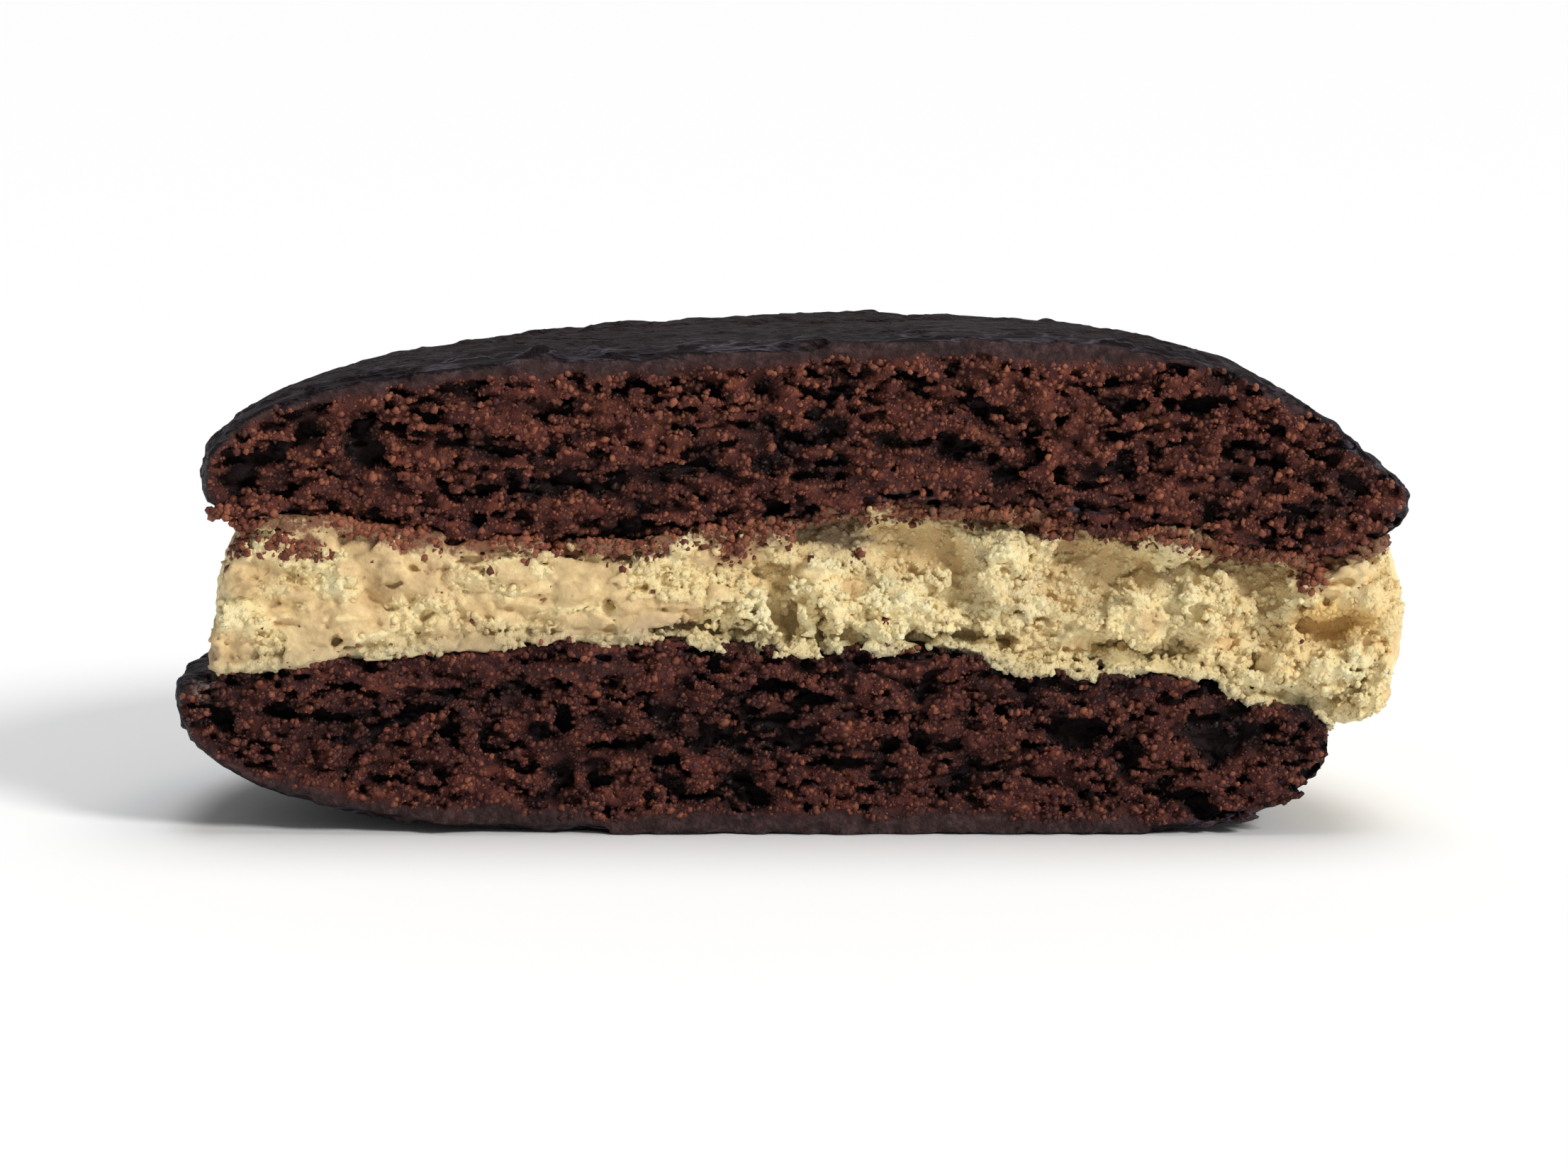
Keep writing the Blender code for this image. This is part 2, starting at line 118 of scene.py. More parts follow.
class Noise:
    """Seeded noise that is read at an array of points."""

    def __init__(self, seed):
        draw = np.random.default_rng(seed)
        self.heights = draw.uniform(-1.0, 1.0, TABLE_SIZE**3).astype(np.float32)
        self.jitter = draw.random((3, TABLE_SIZE**3), dtype=np.float32)
        self.shift = draw.uniform(0.0, TABLE_SIZE, 3).astype(np.float32)

    def place(self, points, size, layer):
        """Cell numbers and the places inside the cells, for cells of the three given sizes."""
        cells, parts = [], []
        for axis in range(3):
            shift = self.shift[axis] + np.float32(layer * LAYER_STEP + TABLE_SHIFT)
            place = points[axis] / np.float32(size[axis]) + shift
            cell = np.floor(place)
            parts.append(place - cell)
            cells.append(cell.astype(np.int32))
        return cells, parts

    def smooth(self, points, size, layer=0):
        """Smooth noise from -1 to 1 whose bumps are about one size across."""
        (i, j, k), parts = self.place(points, size, layer)
        x, y, z = (part * part * (3.0 - 2.0 * part) for part in parts)
        last = TABLE_SIZE - 1
        rows = [(i & last) << (2 * TABLE_BITS), ((i + 1) & last) << (2 * TABLE_BITS)]
        columns = [(j & last) << TABLE_BITS, ((j + 1) & last) << TABLE_BITS]
        depths = [k & last, (k + 1) & last]
        slabs = []
        for row in rows:
            lines = []
            for column in columns:
                start = row + column
                near = self.heights[start + depths[0]]
                lines.append(near + (self.heights[start + depths[1]] - near) * z)
            slabs.append(lines[0] + (lines[1] - lines[0]) * y)
        return slabs[0] + (slabs[1] - slabs[0]) * x

    def fractal(self, points, size, octaves, fall, layer=0):
        """Smooth noise with finer octaves added, each weaker than the last."""
        total, weight, sum_of_weights = 0.0, 1.0, 0.0
        for octave in range(octaves):
            finer = [edge / 2.0**octave for edge in size]
            total = total + np.float32(weight) * self.smooth(points, finer, layer + octave)
            sum_of_weights += weight
            weight *= fall
        return total / np.float32(sum_of_weights)

    def cells(self, points, size, layer=0):
        """Distances in cells to the nearest and the next seed, and the nearest seed's own number."""
        base, parts = self.place(points, size, layer)
        last = TABLE_SIZE - 1
        nearest = np.full(points.shape[1], 9.0, np.float32)
        second = nearest.copy()
        number = np.zeros_like(nearest)
        for offset in np.ndindex(3, 3, 3):
            i, j, k = ((base[axis] + (offset[axis] - 1)) & last for axis in range(3))
            index = (((i << TABLE_BITS) + j) << TABLE_BITS) + k
            distance = 0.0
            for axis in range(3):
                step = self.jitter[axis][index] + (offset[axis] - 1) - parts[axis]
                distance = distance + step * step
            closer = distance < nearest
            second = np.where(closer, nearest, np.minimum(second, distance))
            number = np.where(closer, self.heights[index], number)
            nearest = np.where(closer, distance, nearest)
        return np.sqrt(nearest), np.sqrt(second), number * 0.5 + 0.5


class Block:
    """Signed distances to a solid's surface on a grid, negative inside."""

    def __init__(self, obj, voxel, reach, margin):
        mesh = obj.data
        mesh.calc_loop_triangles()
        points = np.empty(len(mesh.vertices) * 3, np.float32)
        mesh.vertices.foreach_get("co", points)
        faces = np.empty(len(mesh.loop_triangles) * 3, np.int32)
        mesh.loop_triangles.foreach_get("vertices", faces)
        points = points.reshape(-1, 3) / np.float32(MM)
        grid = openvdb.FloatGrid.createLevelSetFromPolygons(
            points,
            triangles=faces.reshape(-1, 3).astype(np.uint32),
            transform=openvdb.createLinearTransform(voxelSize=voxel),
            halfWidth=reach / voxel,
        )
        self.voxel = voxel
        self.low = np.floor((points.min(axis=0) - margin) / voxel).astype(np.int32)
        high = np.ceil((points.max(axis=0) + margin) / voxel).astype(np.int32)
        self.values = np.zeros(tuple(high - self.low + 1), np.float32)
        grid.copyToArray(self.values, ijk=tuple(int(v) for v in self.low))

    def blur(self, passes):
        for axis in range(3):
            inner = np.moveaxis(self.values, axis, 0)
            for _ in range(passes):
                inner[1:-1] = inner[1:-1] * 0.5 + (inner[:-2] + inner[2:]) * 0.25
        return self

    def points(self, index):
        """Places of the grid's own points."""
        voxel = np.float32(self.voxel)
        return np.stack([(index[axis] + self.low[axis]).astype(np.float32) * voxel for axis in range(3)])

    def sample(self, points):
        """Value at each point, between the eight nearest of the grid."""
        cells, parts = [], []
        for axis in range(3):
            place = points[axis] / np.float32(self.voxel) - np.float32(self.low[axis])
            place = np.clip(place, 0.0, self.values.shape[axis] - 1.01)
            cell = place.astype(np.int32)
            cells.append(cell)
            parts.append(place - cell)
        i, j, k = cells
        x, y, z = parts
        flat = self.values.ravel()
        rows, columns = self.values.shape[1] * self.values.shape[2], self.values.shape[2]
        start = i * rows + j * columns + k
        slabs = []
        for row in (0, rows):
            lines = []
            for column in (0, columns):
                near = flat[start + (row + column)]
                lines.append(near + (flat[start + (row + column + 1)] - near) * z)
            slabs.append(lines[0] + (lines[1] - lines[0]) * y)
        return slabs[0] + (slabs[1] - slabs[0]) * x


def largest_shell(count, faces):
    """The faces of the largest connected shell."""
    edges = np.concatenate([faces[:, [0, 1]], faces[:, [1, 2]], faces[:, [2, 3]]])
    label = np.arange(count)
    while True:
        low = np.minimum(label[edges[:, 0]], label[edges[:, 1]])
        fresh = label.copy()
        np.minimum.at(fresh, edges[:, 0], low)
        np.minimum.at(fresh, edges[:, 1], low)
        fresh = fresh[fresh]
        if np.array_equal(fresh, label):
            break
        label = fresh
    face_label = label[faces[:, 0]]
    labels, counts = np.unique(face_label, return_counts=True)
    return faces[face_label == labels[counts.argmax()]]


def new_mesh(name, points, faces):
    """An object whose faces all have the same number of corners, from points in millimetres."""
    corners = faces.shape[1]
    mesh = bpy.data.meshes.new(name)
    mesh.vertices.add(len(points))
    mesh.vertices.foreach_set("co", (points * MM).astype(np.float32).ravel())
    mesh.loops.add(faces.size)
    mesh.loops.foreach_set("vertex_index", faces.astype(np.int32).ravel())
    mesh.polygons.add(len(faces))
    mesh.polygons.foreach_set("loop_start", np.arange(0, faces.size, corners, dtype=np.int32))
    mesh.update(calc_edges=True)
    mesh.shade_smooth()
    obj = bpy.data.objects.new(name, mesh)
    bpy.context.scene.collection.objects.link(obj)
    return obj


def draw_surface(name, block, triangles):
    """A mesh along the block's zero, thinned to about this many triangles."""
    grid = openvdb.FloatGrid(float(block.values.max()))
    grid.transform = openvdb.createLinearTransform(voxelSize=block.voxel)
    grid.copyFromArray(block.values, ijk=tuple(int(v) for v in block.low), tolerance=0.0)
    points, _, faces = grid.convertToPolygons(isovalue=0.0, adaptivity=0.0)
    faces = largest_shell(len(points), faces.astype(np.int64))
    used, faces = np.unique(faces, return_inverse=True)
    faces = faces.reshape(-1, 4)
    points = points[used]
    corners = points[faces].astype(np.float64)
    if np.einsum("ij,ij->", corners[:, 0], np.cross(corners[:, 1], corners[:, 2])) < 0.0:
        faces = faces[:, ::-1]
    obj = new_mesh(name, points, faces)
    thin = obj.modifiers.new("thin", "DECIMATE")
    thin.ratio = min(1.0, triangles / (2.0 * len(faces)))
    thin.use_collapse_triangulate = True
    full = obj.data
    thinned = bpy.data.meshes.new_from_object(obj.evaluated_get(bpy.context.evaluated_depsgraph_get()))
    obj.modifiers.clear()
    obj.data = thinned
    bpy.data.meshes.remove(full)
    thinned.name = name
    thinned.shade_smooth()
    return obj


def vertices_of(obj):
    points = np.empty(len(obj.data.vertices) * 3, np.float32)
    obj.data.vertices.foreach_get("co", points)
    return np.ascontiguousarray(points.reshape(-1, 3).T / np.float32(MM))


def normals_of(obj):
    normals = np.empty(len(obj.data.vertices) * 3, np.float32)
    obj.data.vertex_normals.foreach_get("vector", normals)
    return np.ascontiguousarray(normals.reshape(-1, 3).T)


def keep_values(obj, name, values):
    attribute = obj.data.attributes.new(name, "FLOAT", "POINT")
    attribute.data.foreach_set("value", np.ascontiguousarray(values, np.float32))


# The layers of the frame


class Layer:
    """A layer's solid: distances on a fine grid near its surface, and on a coarse one further off."""

    def __init__(self, node):
        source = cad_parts[node]
        self.fine = Block(source, FINE_VOXEL, FINE_REACH, 1.0)
        self.coarse = Block(source, COARSE_VOXEL, COARSE_REACH, 3.0).blur(2)

    def distance(self, points):
        """Signed distance at any points, fine near the surface."""
        near = self.fine.sample(points)
        far = self.coarse.sample(points)
        far = np.sign(near) * np.maximum(np.abs(far), FINE_TRUSTED)
        return np.where(np.abs(near) < FINE_TRUSTED, near, far)

    def side(self, points):
        """Signed distance to the layer's uncut sides, as if it ran on in front of the cut."""
        held = points.copy()
        held[1] = np.maximum(points[1], CUT_Y + SIDE_DEPTH)
        return self.coarse.sample(held)


border_noise = Noise(BORDER_SEED)


def wander(points, border):
    """Points shifted up and down near the border of cake and cream, so that it runs ragged at the cut."""
    share = smoothstep((2.6 - border) / 1.8) * smoothstep((5.0 - (points[1] - CUT_Y)) / 3.0)
    calm = smoothstep((17.5 - points[2]) / 2.0) * smoothstep((-4.0 - points[0]) / 8.0)
    shift = mix(1.6, 0.7, calm) * border_noise.fractal(points, (2.2, 1.8, 1.6), 3, 0.7)
    moved = points.copy()
    moved[2] += shift * share
    return moved


def stamps(points, rows, soft=0.45):
    """Sum of the rows' amounts, each on an ellipse: x, z, half width, half height, tilt, amount."""
    total = np.zeros(points.shape[1], np.float32)
    for x, z, half_x, half_z, tilt, amount in rows:
        reach = 1.4 * max(half_x, half_z)
        near = np.flatnonzero((np.abs(points[0] - x) < reach) & (np.abs(points[2] - z) < reach))
        across, up = points[0][near] - x, points[2][near] - z
        turn = radians(tilt)
        along = (across * cos(turn) + up * sin(turn)) / half_x
        beside = (up * cos(turn) - across * sin(turn)) / half_z
        total[near] += amount * smoothstep((1.0 + soft / 2.0 - np.hypot(along, beside)) / soft)
    return total


def near_points(layer, depth):
    """Grid places near the layer's surface, and everything inside it down to a depth behind the cut."""
    fine = layer.fine
    near = np.abs(fine.values) < NEAR_SURFACE
    rows = int((CUT_Y + depth) / FINE_VOXEL) - fine.low[1]
    open_rows = fine.values[:, :rows] < NEAR_SURFACE
    near[:, :rows] |= open_rows
    index = np.nonzero(near)
    return index, fine.points(index)


# Sponge

# Hollows of the crumb that stand out in the photograph: x, z, half width, half height, tilt, depth
UPPER_HOLLOWS = (
    (-39.9, 26.4, 1.1, 1.2, 0, 2.2),
    (-30.5, 28.2, 1.4, 1.0, 20, 2.4),
    (-25.3, 25.9, 0.8, 0.6, 0, 1.8),
    (-23.7, 32.9, 1.6, 0.6, 10, 1.8),
    (-18.5, 25.6, 0.7, 0.9, 0, 1.8),
    (-15.9, 26.3, 1.4, 0.6, -10, 2.0),
)
# Where pale cream is smeared over the crumb
CAKE_SMEARS = (
    (-42.9, 11.2, 0.9, 1.6, 20, 0.9),
    (-38.5, 12.6, 2.2, 0.6, 5, 0.45),
)


def inside_box(points, value):
    """Distances with the surface held inside the frame's own box."""
    for axis in range(3):
        low, high = (corner[axis] / MM for corner in cad_box)
        value = np.maximum(value, np.maximum(low + 0.02 - points[axis], points[axis] - high + 0.02))
    return value


def crumb_surface(noise, points, distance, behind, firm):
    """Distances with the open crumb cut in: granules on the face, and hollows that run into the cake."""
    clumps = noise.fractal(points, (2.6, 2.0, 1.25), 3, 0.7)
    small = noise.fractal(points, (1.0, 0.95, 0.65), 2, 0.6, layer=7)
    nearest, _, _ = noise.cells(points, CRUMB_GRAIN)
    hollow = 0.54 * clumps + 0.46 * small
    closing = -0.07 + 0.42 * smoothstep(behind / 4.6) + 0.55 * firm
    relief = 0.10 + (0.7 * clumps + 0.4 * small + 0.45 * (nearest - 0.4)) * (1.0 - 0.9 * firm)
    return np.maximum(distance + relief, (hollow - closing) * 3.0)


def firm_share(points, depth, to_cream):
    """The dense band under the crust, thin at the ends and gone beside the cream."""
    width = mix(2.0, 1.4, smoothstep((-35.0 - points[0]) / 6.0))
    width = mix(width, 0.8, smoothstep((points[0] - 22.0) / 12.0))
    width = width + 1.1 * border_noise.fractal(points, (3.0, 2.0, 1.6), 3, 0.6, layer=8)
    return smoothstep((width - depth) / 0.9) * smoothstep((to_cream - 1.4) / 1.2)


def crust_relief(noise, points):
    """Wrinkles of the baked skin."""
    folds = np.abs(noise.fractal(points, (5.0, 2.0, 1.8), 3, 0.6, layer=12))
    fine = noise.fractal(points, (0.9, 0.8, 0.8), 2, 0.5, layer=16)
    broad = noise.smooth(points, (7.0, 6.0, 5.0), layer=19)
    return 0.66 * (0.22 - folds) * (1.0 + 0.6 * broad) + 0.11 * fine + 0.10 * broad


def make_cake(name, layer, hollows, seed):
    """A cake with open crumb at the cut and a wrinkled crust, and the noise that its crumb is made with."""
    noise = Noise(seed)
    index, points = near_points(layer, CRUMB_DEPTH + 0.6)
    behind = points[1] - CUT_Y
    to_cream = filling.coarse.sample(points)
    moved = wander(points, np.maximum(to_cream, 0.0))
    distance = mix(layer.distance(moved), layer.coarse.sample(points), smoothstep((behind - 2.5) / 2.0))
    depth = -layer.side(moved)
    hidden = smoothstep((1.6 - to_cream) / 0.8) * smoothstep((behind - 4.5) / 1.5)
    value = distance + crust_relief(noise, points) * (1.0 - hidden)
    share = smoothstep((depth + 0.05) / 0.45) * smoothstep((CRUMB_DEPTH - behind) / 1.0)
    chosen = np.flatnonzero(share > 0.0)
    spots, spot_behind = points[:, chosen], behind[chosen]
    firm = firm_share(spots, depth[chosen], to_cream[chosen])
    crumb = crumb_surface(noise, spots, distance[chosen], spot_behind, firm)
    ragged = spots + 0.6 * noise.smooth(spots, (1.1, 1.0, 0.9), layer=25)
    crumb = np.maximum(crumb, np.minimum(stamps(ragged, hollows) - spot_behind, 1.5))
    value[chosen] = mix(value[chosen], crumb, share[chosen])
    layer.fine.values[index] = inside_box(points, value)
    return draw_surface(name, layer.fine, SPONGE_TRIANGLES), noise


def painted_shade_share(behind):
    """How deep in a hollow of the crumb something lies, from 0 to 1: the share of painted shade there."""
    return np.clip((behind - 0.35) / 1.5, 0.0, 1.0)


def dress_cake(piece, layer, noise):
    """Keeps what the sponge's shader reads at each vertex."""
    spots, normals = vertices_of(piece), normals_of(piece)
    behind = spots[1] - CUT_Y
    to_cream = filling.coarse.sample(spots)
    depth = -layer.side(spots)
    skin = smoothstep((layer.coarse.sample(spots) + 0.62) / 0.3) * smoothstep((1.1 - depth) / 0.5)
    skin *= smoothstep((normals[1] + 0.9) / 0.25) * smoothstep((to_cream - 0.5) / 0.8)
    skin = np.maximum(skin, smoothstep((behind - CRUMB_DEPTH - 0.5) / 0.8))
    firm = firm_share(spots, depth, to_cream)
    _, _, number = noise.cells(spots, CRUMB_GRAIN)
    keep_values(piece, "skin", skin)
    keep_values(piece, "firm", firm)
    # Painted shade: the share of near black, more the deeper the crumb lies behind the cut
    keep_values(piece, "hollow", painted_shade_share(behind))
    keep_values(piece, "grain", number)
    # Near the cut the crust is darker and its painted highlights are stronger
    keep_values(piece, "near_cut", smoothstep((10.0 - behind) / 9.0))
    keep_values(piece, "smear", np.clip(stamps(spots, CAKE_SMEARS, 0.9), 0.0, 1.0))
    return spots, normals, skin, firm


# Loose granules and crumbs


def ball(subdivide):
    """Corners and triangles of a small ball: an octahedron, or an icosahedron."""
    shape = bmesh.new()
    if subdivide:
        bmesh.ops.create_icosphere(shape, subdivisions=1, radius=1.0)
    else:
        bmesh.ops.create_uvsphere(shape, u_segments=4, v_segments=2, radius=1.0)
    points = np.array([vert.co[:] for vert in shape.verts], np.float32)
    faces = np.array([[vert.index for vert in face.verts] for face in shape.faces], np.int64)
    shape.free()
    return points, faces


LARGE_BALL, SMALL_BALL = ball(True), ball(False)


def turns(draw, count):
    """Random rotation matrices."""
    quaternion = draw.normal(size=(count, 4))
    w, x, y, z = (quaternion / np.linalg.norm(quaternion, axis=1, keepdims=True)).T
    rows = [
        (1 - 2 * (y * y + z * z), 2 * (x * y - z * w), 2 * (x * z + y * w)),
        (2 * (x * y + z * w), 1 - 2 * (x * x + z * z), 2 * (y * z - x * w)),
        (2 * (x * z - y * w), 2 * (y * z + x * w), 1 - 2 * (x * x + y * y)),
    ]
    return np.stack([np.stack(row, axis=1) for row in rows], axis=1)


def scatter(name, places, radii, seed):
    """One mesh of lumpy granules, with the granule that each vertex is of. Small ones have fewer faces."""
    draw = np.random.default_rng(seed)
    all_points, all_faces, owners = [], [], []
    for (ball_points, ball_faces), chosen in (
        (LARGE_BALL, np.flatnonzero(radii >= SMALLEST_ROUND)),
        (SMALL_BALL, np.flatnonzero(radii < SMALLEST_ROUND)),
    ):
        count = len(chosen)
        shapes = ball_points[None] * (1.0 + 0.36 * draw.uniform(-1.0, 1.0, (count, len(ball_points), 1)))
        shapes = shapes * draw.uniform(0.7, 1.3, (count, 1, 3)) * radii[chosen, None, None]
        shapes = np.einsum("nij,nkj->nki", turns(draw, count), shapes) + places[chosen, None, :]
        first = sum(len(points) for points in all_points) + np.arange(count) * len(ball_points)
        all_faces.append((ball_faces[None] + first[:, None, None]).reshape(-1, 3))
        all_points.append(shapes.reshape(-1, 3))
        owners.append(np.repeat(chosen, len(ball_points)))
    piece = new_mesh(name, np.concatenate(all_points), np.concatenate(all_faces))
    owner = np.concatenate(owners)
    keep_values(piece, "grain", draw.random(len(places))[owner])
    return piece, owner


def thinned(draw, spots, chosen, spacing):
    """A shuffled choice with at most one of these vertices in each cell of a grid."""
    draw.shuffle(chosen)
    cells = np.floor(spots[:, chosen] / spacing).astype(np.int64)
    _, first = np.unique(cells[0] * 4000003 + cells[1] * 2003 + cells[2], return_index=True)
    chosen = chosen[first]
    draw.shuffle(chosen)
    return chosen


def kept_back(name, places, radii, seed, painted_shade_strength):
    """Granules clear of the front of the frame's box, with painted shade that darkens them the deeper they
    lie.
    """
    front = min(corner[1] for corner in cad_box) / MM
    places[:, 1] = np.maximum(places[:, 1], front + radii * 1.45)
    piece, owner = scatter(name, places, radii, seed)
    keep_values(piece, "hollow", painted_shade_strength * painted_shade_share(places[owner, 1] - CUT_Y))
    return piece, owner


def stuck_on(name, spots, normals, chosen, radii, sink, seed, painted_shade_strength=1.0):
    """Granules sunk a little into the surface at the chosen vertices."""
    places = (spots[:, chosen] - normals[:, chosen] * radii * sink).T
    return kept_back(name, places, radii, seed, painted_shade_strength)


def add_granules(name, spots, normals, skin, firm, seed, most):
    """Granules stuck all over the open crumb."""
    draw = np.random.default_rng(seed)
    open_crumb = (skin < 0.3) & (firm < 0.8) & (spots[1] < CUT_Y + 2.0) & (normals[1] < 0.3)
    chosen = thinned(draw, spots, np.flatnonzero(open_crumb), GRANULE_SPACING)
    chosen = chosen[:most]
    radii = 0.11 + 0.19 * draw.random(len(chosen)) ** 1.9
    return stuck_on(name, spots, normals, chosen, radii, 0.3, seed)[0]


# Cream

# Forms of the cream's face: x, z, half width, half height, tilt, millimetres towards the viewer
CREAM_FORMS = (
    (-37.6, 18.1, 3.2, 0.5, -8, 0.55),
    (-37.0, 19.4, 3.2, 0.6, -8, -0.4),
    (-36.0, 17.2, 2.2, 0.7, 5, -0.4),
    (-32.2, 18.6, 0.9, 1.8, 10, 0.5),
    (-31.4, 15.4, 3.2, 1.0, 8, 0.5),
    (-40.0, 16.2, 2.0, 0.9, -5, 0.35),
    (-21.5, 19.4, 3.4, 0.8, 6, 0.4),
    (-20.0, 16.4, 3.2, 0.7, -6, -0.3),
    (-34.0, 16.3, 3.6, 0.9, 4, 0.35),
    (-15.5, 18.4, 1.6, 1.0, 15, 0.5),
    (-29.0, 19.4, 1.3, 1.4, 0, 0.5),
    (-28.9, 18.6, 0.8, 0.28, 5, -1.0),
    (-27.5, 17.6, 0.5, 0.35, 0, -0.8),
    (-26.3, 16.3, 0.6, 0.5, 20, -0.8),
    (-38.3, 14.8, 0.35, 0.35, 0, -0.6),
    (-33.1, 14.4, 0.5, 0.3, 0, -0.7),
    (-18.8, 17.6, 1.9, 0.35, -15, -0.35),
    (-13.0, 16.9, 0.6, 0.45, 0, -1.5),
    (-34.9, 12.9, 1.5, 0.6, 0, 0.5),
    (-28.4, 12.5, 1.2, 0.6, 0, 0.5),
    (-43.4, 12.8, 1.8, 0.7, 0, 0.45),
    (-43.3, 13.4, 1.9, 1.3, 0, 0.45),
    (-43.2, 14.2, 1.9, 1.9, 0, 0.35),
    (-9.8, 17.3, 2.4, 0.7, 4, 0.7),
    (-9.4, 15.5, 3.0, 1.2, 0, 0.3),
    (-3.4, 21.4, 3.6, 1.6, 12, 0.3),
    (3.5, 22.1, 2.9, 1.2, -10, -0.6),
    (-1.3, 19.2, 1.6, 1.1, 0, -1.3),
    (2.5, 18.0, 1.8, 3.3, 6, 1.2),
    (-0.3, 17.2, 0.9, 2.3, -4, -1.4),
    (0.2, 15.4, 0.6, 1.9, -6, -2.0),
    (2.6, 15.2, 0.5, 1.6, 10, -1.8),
    (7.9, 21.4, 1.7, 1.4, 20, -1.7),
    (10.7, 21.0, 2.2, 1.2, 10, -1.5),
    (11.2, 22.0, 1.0, 0.5, 20, 0.5),
    (12.3, 19.7, 1.1, 1.6, 10, -1.4),
    (8.3, 19.4, 1.5, 0.8, -15, -1.3),
    (8.6, 16.2, 4.3, 1.6, 0, 1.0),
    (12.9, 14.5, 1.1, 0.6, 10, -1.5),
    (15.8, 14.3, 0.7, 0.6, 0, -1.3),
    (16.1, 19.6, 2.0, 2.6, 15, 1.3),
    (19.0, 17.2, 1.6, 2.2, 20, -0.5),
    (21.4, 20.7, 1.8, 0.9, 20, -1.6),
    (24.3, 19.7, 2.6, 0.9, -5, -1.5),
    (25.2, 20.5, 1.2, 0.4, 10, 0.7),
    (26.8, 18.7, 1.5, 0.8, -20, -1.3),
    (22.6, 18.7, 1.1, 0.5, 0, -0.9),
    (24.5, 21.7, 1.1, 0.5, 0, 1.1),
    (29.4, 21.2, 2.6, 0.5, -10, 1.3),
    (29.0, 19.9, 2.6, 0.5, 5, -0.8),
    (30.4, 18.3, 2.0, 1.2, -10, 1.6),
    (31.3, 15.9, 1.7, 1.4, 20, 1.2),
    (24.2, 15.3, 3.5, 1.4, 0, 1.0),
    (23.9, 13.6, 1.2, 0.5, 8, -1.7),
    (28.8, 14.0, 0.5, 0.35, 0, -1.4),
    (34.3, 12.4, 0.5, 0.8, 20, -1.5),
    (35.9, 11.6, 0.8, 0.35, 10, -1.4),
    (35.3, 18.4, 1.9, 1.8, 0, -1.2),
    (40.6, 19.2, 1.9, 1.3, 25, 1.5),
    (39.6, 15.6, 2.8, 1.1, 6, -0.7),
    (42.0, 17.4, 1.6, 0.9, 30, 0.6),
    (38.6, 12.2, 3.8, 1.6, 8, 0.9),
)
# Where crumb juice has stained the cream brown, where grey shade is painted on smooth facets, and where an
# amber glow is painted on it
CREAM_STAINS = (
    (-25.8, 19.2, 1.1, 0.9, 0, 0.8),
    (-3.4, 21.6, 3.4, 1.7, 12, 0.8),
    (19.6, 22.3, 2.2, 1.7, 0, 0.7),
    (17.7, 17.5, 2.2, 2.4, 20, 0.35),
    (-9.4, 15.4, 2.4, 0.7, 0, 0.3),
)
# Painted grey shade on recessed smooth facets
CREAM_PAINTED_GREYS = (
    (3.5, 22.1, 3.0, 1.3, -10, 0.8),
    (-9.4, 15.6, 2.4, 0.8, 0, 0.5),
)
# Painted amber glow, as of light shining through the cream
CREAM_PAINTED_GLOWS = (
    (39.6, 15.6, 3.2, 1.6, 6, 0.9),
    (36.0, 13.0, 1.4, 1.6, 20, 0.5),
    (43.5, 16.0, 1.5, 3.5, 0, 0.5),
)
# Lumps of larger crumbs along the cream's upper border: x, z, half width, half height, how many
CRUMB_CHUNKS = (
    (-41.1, 23.9, 1.4, 0.5, 90),
    (-39.7, 23.0, 1.0, 0.7, 40),
    (38.4, 19.0, 0.7, 0.8, 16),
    (-36.4, 22.3, 1.8, 0.8, 60),
    (-36.8, 21.2, 1.1, 0.5, 16),
    (-27.4, 22.6, 1.3, 0.6, 26),
    (-19.0, 21.9, 1.2, 0.5, 18),
)
# Where crumbs lie thick near the upper border: x, z, half width, half height, tilt, share
CRUMB_CLUSTERS = (
    (-36.0, 21.4, 2.6, 1.0, -5, 1.0),
    (-40.5, 21.3, 1.2, 0.9, 0, 1.0),
    (-28.0, 21.9, 1.2, 0.9, 0, 1.0),
    (-30.9, 23.0, 1.2, 0.5, 0, 1.0),
    (-24.0, 20.9, 0.3, 0.3, 0, 1.0),
    (-19.1, 21.5, 1.2, 0.9, 0, 1.0),
    (-13.0, 21.9, 2.2, 0.9, 0, 1.0),
    (-4.1, 21.6, 1.4, 1.6, 0, 1.0),
    (5.0, 20.5, 0.5, 0.5, 0, 1.0),
    (20.0, 22.6, 2.4, 0.8, 0, 1.0),
    (38.2, 19.0, 0.9, 1.0, 0, 1.0),
    (33.0, 20.6, 0.6, 0.4, 0, 1.0),
)


def torn_share(points):
    """How much the cream is torn there rather than sliced."""
    return smoothstep((points[0] + 16.0) / 14.0)


def granular_share(noise, points):
    """Where the cream's face is a mass of small lumps rather than a smear."""
    patches = noise.fractal(points, (5.0, 5.0, 2.6), 2, 0.5, layer=30)
    return smoothstep((patches + mix(0.08, 0.42, torn_share(points))) / 0.2)


def warped(noise, points, torn):
    """Points moved about in the plane of the cut, so that forms stamped there come out ragged."""
    moved = points.copy()
    for axis, layer in ((0, 20), (2, 24)):
        moved[axis] += mix(0.8, 1.6, torn) * noise.fractal(points, (2.2, 2.2, 1.8), 3, 0.75, layer=layer)
    return moved


